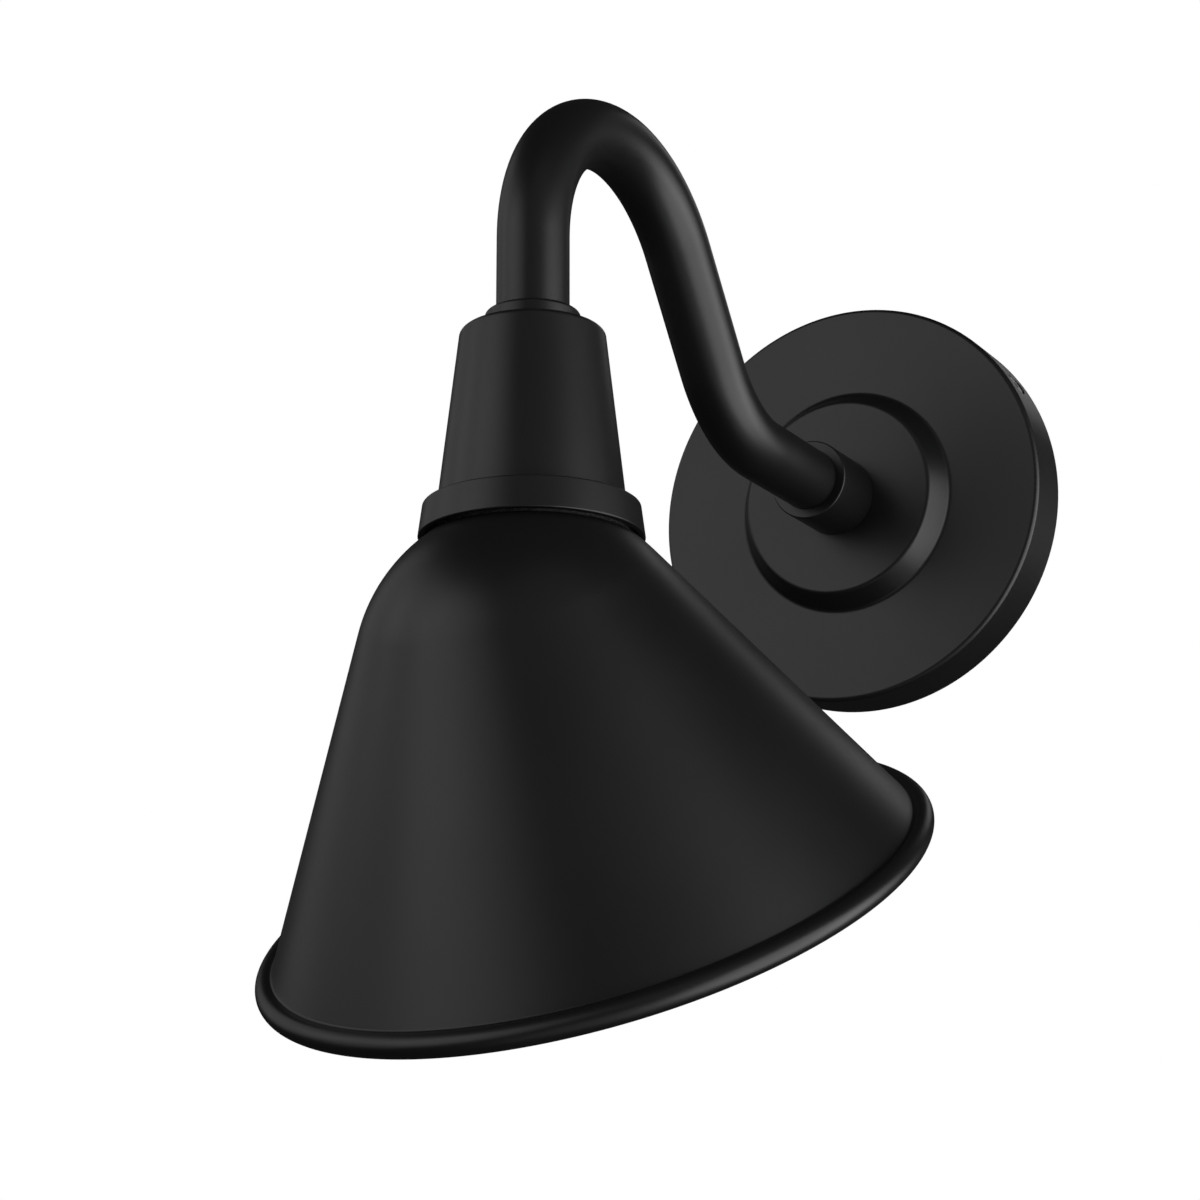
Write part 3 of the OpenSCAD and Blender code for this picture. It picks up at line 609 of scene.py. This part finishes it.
bmesh.ops.solidify(arm, geom=arm.faces[:], thickness=TUBE_WALL * MM)
finished(arm, "dress_gooseneck_arm", "black_paint", "gooseneck_arm")

# %% [markdown]
# ## Collar, ferrule, housing and holder
# These four are turned or spun pieces that join the arm to the plate and to the shade. The seam
# that the photograph shows above the skirt is the joint between housing and holder. A dark line
# could be painted there, but it would be flat from every side. So the housing stops a little
# above the holder and its foot is bevelled, and the seam comes from the shape.

# %% Collar
collar_low, collar_high = corners("arm_collar")
COLLAR_R, COLLAR_LEN = collar_high[0], -collar_low[1] - BOSS_OUT
COLLAR_EDGE, COLLAR_SEAT, THREAD_HOLE_R, TUBE_HOLE_R = 0.5, 10.9, 5.05, 9.55

collar = (
    Pencil(THREAD_HOLE_R, 0)
    .line((COLLAR_R, 0), (COLLAR_R, COLLAR_LEN - COLLAR_EDGE))
    .arc((COLLAR_R - COLLAR_EDGE, COLLAR_LEN - COLLAR_EDGE), 90, steps=4)
    .line((TUBE_HOLE_R, COLLAR_LEN), (TUBE_HOLE_R, COLLAR_LEN - COLLAR_SEAT))
    .line((THREAD_HOLE_R, COLLAR_LEN - COLLAR_SEAT))
    .turned(steps=96)
)
on_boss = OFF_WALL @ Matrix.Translation((0, 0, BOSS_OUT * MM))
finished(placed(collar, on_boss), "dress_arm_collar", "black_paint", "arm_collar")

# %% Ferrule
ferrule_low, ferrule_high = corners("ferrule")
FERRULE_R, FERRULE_H = ferrule_high[0], ferrule_high[2] - ferrule_low[2]
FERRULE_EDGE, FERRULE_FOOT = 1.0, 0.3

ferrule = (
    Pencil(TUBE_HOLE_R, 0)
    .line((FERRULE_R - FERRULE_FOOT, 0), (FERRULE_R, FERRULE_FOOT), (FERRULE_R, FERRULE_H - FERRULE_EDGE))
    .arc((FERRULE_R - FERRULE_EDGE, FERRULE_H - FERRULE_EDGE), 90, steps=6)
    .line((TUBE_HOLE_R, FERRULE_H))
    .turned(steps=96)
)
on_housing = AT_HEAD @ Matrix.Translation((0, 0, HEAD_Z * MM))
finished(placed(ferrule, on_housing), "dress_ferrule", "black_paint", "ferrule")

# %% Housing
HOUSING_BOTTOM_R, HOUSING_TOP_R = housing_high[0], 18.8
HOUSING_EDGE, HOUSING_WALL, SEAM = 1.5, 1.6, 0.3


def housing_r(z):
    """The radius of the tapered housing at a height."""
    return HOUSING_TOP_R + (HOUSING_BOTTOM_R - HOUSING_TOP_R) * (HEAD_Z - z) / (HEAD_Z - HOLDER_Z)


ceiling = HEAD_Z - HOUSING_WALL
shoulder_r = housing_r(HEAD_Z - HOUSING_EDGE)
housing = (
    Pencil(HOUSING_BOTTOM_R - SEAM, HOLDER_Z + SEAM)
    .line((HOUSING_BOTTOM_R, HOLDER_Z + 2 * SEAM), (shoulder_r, HEAD_Z - HOUSING_EDGE))
    .arc((shoulder_r - HOUSING_EDGE, HEAD_Z - HOUSING_EDGE), 90, steps=8)
    .line((NIPPLE_HOLE_R, HEAD_Z), (NIPPLE_HOLE_R, ceiling), (housing_r(ceiling) - HOUSING_WALL, ceiling))
    .line((HOUSING_BOTTOM_R - HOUSING_WALL, HOLDER_Z + SEAM))
    .turned(steps=128)
)
finished(placed(housing, AT_HEAD), "dress_socket_housing", "black_paint", "socket_housing")

# %% Holder
holder_low, holder_high = corners("shade_holder")
HOLDER_BOTTOM_R, SKIRT_Z, SPIGOT_TOP = holder_high[0], holder_low[2], holder_high[2]
LAND_Z, SEAT_Z = (corner[2] for corner in corners("shade_gasket"))
HOLDER_TOP_R, HOLDER_EDGE, SKIRT_INNER_R, SKIRT_TAPER = 27.7, 0.4, 27.3, 1
NECK_HOLE_R, SPIGOT_WALL, SLIP_GAP = 19.13, 1.3, 0.1
SPIGOT_R = housing_r(SPIGOT_TOP) - HOUSING_WALL - SLIP_GAP

holder = (
    Pencil(NECK_HOLE_R, SEAT_Z)
    .line((SKIRT_INNER_R - SKIRT_TAPER, SEAT_Z), (SKIRT_INNER_R, SKIRT_Z))
    .line((HOLDER_BOTTOM_R - HOLDER_EDGE, SKIRT_Z))
    .arc((HOLDER_BOTTOM_R - HOLDER_EDGE, SKIRT_Z + HOLDER_EDGE), 90, steps=4)
    .line((HOLDER_TOP_R, HOLDER_Z - HOLDER_EDGE))
    .arc((HOLDER_TOP_R - HOLDER_EDGE, HOLDER_Z - HOLDER_EDGE), 90, steps=4)
    .line((SPIGOT_R, HOLDER_Z), (SPIGOT_R, SPIGOT_TOP), (SPIGOT_R - SPIGOT_WALL, SPIGOT_TOP))
    .line((SPIGOT_R - SPIGOT_WALL, HOLDER_Z), (NECK_HOLE_R, HOLDER_Z))
    .turned(steps=128)
)
finished(placed(holder, AT_HEAD), "dress_shade_holder", "black_paint", "shade_holder")

# %% [markdown]
# ## The shade
# The shade is a dome that runs on into a cone and ends in a rolled bead, with a narrow groove
# above the bead. It is spun about its own axis, which leans 31 degrees, but its neck is cut off
# level, because it hangs under the upright housing. So the sheet with its bead is drawn and
# spun first, then Bisect cuts the outer skin level, and the inner skin one sheet lower. Both
# cuts are circles about the upright axis, since a plane cuts a sphere in a circle. They are
# drawn in to the neck's hole, and a bridge joins them.
#
# A face is white enamel when it lies under half of the sheet and looks at the shade's axis. Last
# comes the thin gasket that is clamped between the skirt and the neck.

# %% Shade outline
CONE_ANGLE, SHADE_TILT, DOME_R, SHEET_T, DOME_Z = 30.35, 31.45, 44.1, 1.0, -97.07
BEAD_R, BEAD_RING_R, BEAD_STAND, BEAD_FILLET = 3.0, 85.08, 0.24, 0.7


def stepped(start, *moves):
    """A point moved by multiples of directions, in the plane of the outline."""
    r, z = start
    for share, (dr, dz) in moves:
        r, z = r + share * dr, z + share * dz
    return r, z


def bearing(centre, point):
    """The direction from a centre to a point, in degrees."""
    return math.degrees(math.atan2(point[1] - centre[1], point[0] - centre[0]))


lean = math.radians(CONE_ANGLE)
outwards, rimwards = (math.cos(lean), -math.sin(lean)), (math.sin(lean), math.cos(lean))
bead_s = (BEAD_RING_R * math.cos(lean) - DOME_R - BEAD_STAND) / math.sin(lean)
bead = (BEAD_RING_R, bead_s)
run = math.sqrt((BEAD_R + BEAD_FILLET) ** 2 - (BEAD_FILLET - BEAD_STAND) ** 2)
fillet = stepped(bead, (BEAD_FILLET - BEAD_STAND, outwards), (-run, rimwards))
sunk = BEAD_STAND + SHEET_T
inner_end = stepped(bead, (-sunk, outwards), (-math.sqrt(BEAD_R**2 - sunk**2), rimwards))
fillet_turn = bearing(bead, fillet) + CONE_ANGLE
round_bead = bearing(bead, inner_end) + 360 - bearing(bead, fillet)
print("bead at", round(bead_s, 2), "mm along the axis; it is rolled through", round(round_bead), "degrees")

# %% Skins of the shade
AT_DOME = AT_HEAD @ Matrix.Translation((0, 0, DOME_Z * MM))
lean_over = AT_DOME @ Matrix.Rotation(math.radians(180 + SHADE_TILT), 4, "X")
outer_skin = (
    Pencil(0, -DOME_R)
    .arc((0, 0), 90 - CONE_ANGLE, steps=36)
    .line(stepped(fillet, (-BEAD_FILLET, outwards)))
    .arc(fillet, fillet_turn, steps=8)
    .arc(bead, round_bead, steps=36)
)
inner_skin = Pencil(0, SHEET_T - DOME_R).arc((0, 0), 90 - CONE_ANGLE, steps=36).line(inner_end)
print("points drawn:", len(outer_skin.mesh.verts), "outside,", len(inner_skin.mesh.verts), "inside")

# %% Neck of the shade
def neck_cut(skin, height):
    """Spins a skin, leans it over and cuts its neck off level at a height in millimetres."""
    mesh = placed(skin.turned(steps=200, closed=False), lean_over)
    everything = mesh.verts[:] + mesh.edges[:] + mesh.faces[:]
    bmesh.ops.bisect_plane(
        mesh, geom=everything, plane_co=(0, 0, height * MM), plane_no=(0, 0, 1), clear_outer=True
    )
    loan = bpy.data.meshes.new("loan")
    mesh.to_mesh(loan)
    mesh.free()
    return loan


def drawn_in(mesh, height, radius):
    """Extrudes the cut edge at a height inwards, as far as a hole of that radius round the head's axis."""

    def is_cut(edge):
        return len(edge.link_faces) == 1 and all(abs(v.co.z - height * MM) < WELD for v in edge.verts)

    made = bmesh.ops.extrude_edge_only(mesh, edges=[e for e in mesh.edges if is_cut(e)])["geom"]
    near = [v for v in made if isinstance(v, bmesh.types.BMVert)]
    for v in near:
        spoke = Vector((v.co.x, v.co.y + ARM_REACH * MM)).normalized() * radius * MM
        v.co = (spoke.x, spoke.y - ARM_REACH * MM, v.co.z)
    return [e for e in made if isinstance(e, bmesh.types.BMEdge) and all(v in near for v in e.verts)]


sheet = bmesh.new()
sheet.from_mesh(neck_cut(outer_skin, LAND_Z))
sheet.from_mesh(neck_cut(inner_skin, LAND_Z - SHEET_T))
upper_hole = drawn_in(sheet, LAND_Z, NECK_HOLE_R)
lower_hole = drawn_in(sheet, LAND_Z - SHEET_T, NECK_HOLE_R)
bmesh.ops.bridge_loops(sheet, edges=upper_hole + lower_hole)
bmesh.ops.remove_doubles(sheet, verts=sheet.verts, dist=WELD)
bmesh.ops.recalc_face_normals(sheet, faces=sheet.faces)
print("open edges left in the shade:", sum(len(e.link_faces) != 2 for e in sheet.edges))

# %% Shade
shade = finished(sheet, "dress_shade", "black_paint", "shade")
shade.data.materials.append(white_enamel)
axis = lean_over.to_3x3() @ Vector((0, 0, 1))
for face in shade.data.polygons:
    middle = face.center - AT_DOME.translation
    along = middle.dot(axis)
    spoke = middle - along * axis
    on_cone = spoke.length * math.cos(lean) - along * math.sin(lean)
    depth = on_cone if along > 0 else middle.length
    looks_in = face.normal.dot(spoke) < 0
    if looks_in and depth < (DOME_R - SHEET_T / 2) * MM and along < bead_s * MM:
        face.material_index = 1
print("white faces inside:", sum(face.material_index for face in shade.data.polygons))

# %% Shade gasket
CLAMP_INSET = 1.5
CLAMP_R = math.sqrt(DOME_R**2 - (LAND_Z - DOME_Z) ** 2) - CLAMP_INSET
gasket = Pencil(NECK_HOLE_R, LAND_Z).line((CLAMP_R, LAND_Z), (CLAMP_R, SEAT_Z), (NECK_HOLE_R, SEAT_Z))
finished(placed(gasket.turned(steps=120), AT_HEAD), "dress_shade_gasket", "foam_rubber", "shade_gasket")

# %% [markdown]
# ## The leads
# Two leads run from the lampholder up the arm and into the plate, and a short green one grounds
# the plate. In the solids they are eight-sided rods. Here each is a curve with a round bevel,
# through the same points, so it bends smoothly and stays inside the tube. The ends behind the
# plate show when the light is off the wall.

# %% Routes of the leads
PORCELAIN_TOP, COLLAR_FRONT = corners("lampholder")[1][2], -collar_low[1]
LEAD_R, LEAD_X, ARM_STACK, BOW_PARTS, GROUND_ANGLE, GROUND_END = 1.2, 1.45, 15.7, 5, 120, 47.0


def on_bow(angle):
    """A point of the wide bow, from the drop at 0 degrees back to the slope."""
    a = math.radians(angle)
    return LEAD_X, TOP_CENTRE[0] + TOP_R * math.cos(a), TOP_CENTRE[1] + TOP_R * math.sin(a)


def on_rise(angle):
    """A point of the lower bend, from the straight root at 0 degrees up to the slope."""
    a = math.radians(angle)
    return LEAD_X, BEND_START + RISE_R * math.sin(a), RISE_R * (1 - math.cos(a))


LEAD_ROUTE = [
    (5, ARM_REACH, PORCELAIN_TOP + 1.4), (3.2, ARM_REACH, PORCELAIN_TOP + 2.8),
    (1.5, ARM_REACH, PORCELAIN_TOP + 7.5), (LEAD_X, ARM_REACH, HEAD_Z + 6.3),
    *[on_bow((90 + RISE_ANGLE) * k / BOW_PARTS) for k in range(BOW_PARTS + 1)],
    on_rise(RISE_ANGLE), on_rise(RISE_ANGLE / 2), on_rise(0),
    (LEAD_X, COLLAR_FRONT, 0), (LEAD_X, ARM_STACK, 0),
    (2.6, 11.4, -2), (7, 8.7, -6), (13, 8.5, -8), (25, 8.5, -8),
]
GROUND_ROUTE = [
    (0, 19.8, 11), (0, 19.8, 15), (0, 18.4, 20), (0, 12, GROUND_END - 19),
    (0, 5.6, GROUND_END - 11), (0, 3.5, GROUND_END - 5), (0, 3.4, GROUND_END),
]
print("points of the routes:", len(LEAD_ROUTE), "and", len(GROUND_ROUTE))


# %% Leads
def smooth_route(points, steps=4):
    """A smooth line through points: each stretch bends as its neighbours ask."""
    line = []
    padded = [2 * points[0] - points[1], *points, 2 * points[-1] - points[-2]]
    for before, here, there, after in zip(padded, padded[1:], padded[2:], padded[3:]):
        for k in range(steps):
            t = k / steps
            bend = 2 * before - 5 * here + 4 * there - after
            twist = 3 * here - before - 3 * there + after
            line.append((2 * here + (there - before) * t + bend * t * t + twist * t**3) / 2)
    return line + [points[-1]]


def lead(name, points, finish_name, solid):
    """A round sheathed wire along points in millimetres."""
    route = smooth_route([Vector(p) * MM for p in points])
    data = bpy.data.curves.new(name, "CURVE")
    data.dimensions = "3D"
    data.bevel_depth = LEAD_R * MM
    data.bevel_resolution = 5
    data.use_fill_caps = True
    spline = data.splines.new("POLY")
    spline.points.add(len(route) - 1)
    for point, spot in zip(spline.points, route):
        point.co = (*spot, 1)
    data.materials.append(FINISHES[finish_name])
    piece = bpy.data.objects.new(name, data)
    SCENE.collection.objects.link(piece)
    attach(piece, "fixture")
    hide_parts(solid)
    length = sum((b - a).length for a, b in zip(route, route[1:]))
    print(name, round(length / MM), "mm long")


to_plate = [Vector((x, -out, up)) for x, out, up in LEAD_ROUTE]
lead("dress_black_lead", to_plate, "black_sheath", "black_lead")
lead("dress_white_lead", [Vector((-p.x, p.y, p.z)) for p in to_plate], "white_sheath", "white_lead")
swing = Matrix.Rotation(math.radians(90 - GROUND_ANGLE), 3, "Y")
to_ground = [swing @ Vector((x, -out, up)) for x, out, up in GROUND_ROUTE]
lead("dress_ground_lead", to_ground, "green_sheath", "ground_lead")

# %% [markdown]
# ## Studio
# Black paint is lit by what it reflects, so the lamps were placed by reading the photograph: a
# face that shines there mirrors a lamp, and its slope says where that lamp stood. It had a large
# bright box at the right, with one further back and one lower down, a row of four fainter ones at
# the left, weak ones low and high in front, and a small one behind. Each is a round soft lamp
# here, four metres off. It is given by where it stands, by the half of the angle that it fills,
# and by how bright it is to look at, where 1 is white. Two more lamps light only what isn't
# glossy, so that the white parts can be seen from above and from behind too.

# %% Lamps
LAMP_DISTANCE = 4.0
AIM = Vector((0, -0.12, -0.06))


def soft_lamp(name, azimuth, elevation, half_angle, radiance, glossy=True):
    """A round lamp that faces the light and looks as bright as the radiance says."""
    radius = LAMP_DISTANCE * math.tan(math.radians(half_angle))
    data = bpy.data.lights.new(name, "AREA")
    data.shape = "DISK"
    data.size = 2 * radius
    data.energy = radiance * math.pi * math.pi * radius**2
    lamp = bpy.data.objects.new(name, data)
    SCENE.collection.objects.link(lamp)
    turn = looking(azimuth, elevation)
    lamp.matrix_world = Matrix.Translation(AIM + turn.col[2].to_3d() * LAMP_DISTANCE) @ turn
    lamp.visible_camera = False
    lamp.visible_glossy = glossy


LAMPS = [
    ("right_box", 91, -13, 37, 2.15),
    ("low_right_box", 90, -44, 28, 0.36),
    ("right_back_box", 121, 1, 20, 1.35),
    ("front_left_box", -22, 16, 25, 0.68),
    ("left_box", -45, 15, 30, 0.36),
    ("far_left_box", -60, 30, 20, 0.26),
    ("left_side_box", -90, 25, 24, 0.33),
    ("low_front_box", 30, -42, 28, 0.3),
    ("high_front_box", 45, 30, 30, 0.13),
    ("behind_box", 178, 34, 9, 0.65),
]
for lamp in LAMPS:
    soft_lamp(*lamp)
soft_lamp("overhead_fill", 0, 85, 40, 0.6, glossy=False)
soft_lamp("wall_side_fill", 180, 10, 40, 0.5, glossy=False)
print(len(LAMPS), "soft lamps and two fills")

# %% [markdown]
# ## Background and floor
# What the camera sees behind the light is plain white, and so is what it sees through glass. A
# lit backdrop could do that, but then it would also light the object. So the world asks what kind
# of ray has reached it. It is white for the camera, and gives a weak, even light to all surfaces.
# In mirror images it is nearly black: the photographed paint is almost black where it looks up
# or down, and a white room would turn it grey there.
#
# The floor is one pale sheet, well below the light. It glows by itself for the camera, so it is
# as pale at its far edge as near the light. The paint doesn't mirror it, and it casts no shadow
# and bounces no light, so the look of the object doesn't depend on it. Seen from beneath it is
# clear, so that the light can be looked at from below.

# %% World
AMBIENT, IN_REFLECTION = 0.2, 0.015
sky = Finish(bpy.data.worlds.new("white_room"))
SCENE.world = sky.owner
path = sky.add("ShaderNodeLightPath", out="Is Camera Ray")
glossy, through = path.out("Is Glossy Ray"), path.out("Is Transmission Ray")
strength = AMBIENT + (path + through) * (1 - AMBIENT) + glossy * (IN_REFLECTION - AMBIENT)
room = sky.add("ShaderNodeBackground", None, {"Color": rgb(1, 1, 1), "Strength": strength})
sky.add("ShaderNodeOutputWorld", None, {"Surface": room})
SCENE.view_settings.view_transform = "Standard"
print("world: 1 to the camera,", AMBIENT, "as a light,", IN_REFLECTION, "in a reflection")

# %% Floor
FLOOR_Z, FLOOR_HALF, FLOOR_TONE, FLOOR_GLOW = -0.42, 30, 0.1, 0.93
grid = bmesh.new()
bmesh.ops.create_grid(
    grid, x_segments=1, y_segments=1, size=FLOOR_HALF, matrix=Matrix.Translation((0, 0, FLOOR_Z))
)
data = bpy.data.meshes.new("pale_floor")
grid.to_mesh(data)
grid.free()
floor = bpy.data.objects.new("pale_floor", data)
SCENE.collection.objects.link(floor)
floor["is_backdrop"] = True
floor.visible_shadow = floor.visible_glossy = floor.visible_diffuse = False

pale = finish("pale_floor")
seen = pale.add("ShaderNodeLightPath", out="Is Camera Ray")
above = pale.add("ShaderNodeBsdfPrincipled", None, {
    "Base Color": rgb(FLOOR_TONE, FLOOR_TONE, FLOOR_TONE), "Roughness": 0.9, "Specular IOR Level": 0.0,
    "Emission Color": pale.blend(seen * FLOOR_GLOW, rgb(0, 0, 0), rgb(1, 1, 1)), "Emission Strength": 1.0,
})
beneath = pale.add("ShaderNodeNewGeometry", out="Backfacing")
clear = pale.add("ShaderNodeBsdfTransparent")
either = pale.add("ShaderNodeMixShader", None, {0: beneath, 1: above, 2: clear})
pale.add("ShaderNodeOutputMaterial", None, {"Surface": either})
data.materials.append(pale.owner)
print("floor", -FLOOR_Z, "m below the middle of the plate")

# %% [markdown]
# ## Last measures
# The dressed light must not be bigger than its solids. Its box is measured, and how far it
# grows past the box of the solids is printed.

# %% Size
DRESSED_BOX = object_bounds()
grown = [max(CAD_BOX[0][k] - DRESSED_BOX[0][k], DRESSED_BOX[1][k] - CAD_BOX[1][k]) / MM for k in range(3)]
print("the dressed light grows by", [round(g, 3) for g in grown], "mm")
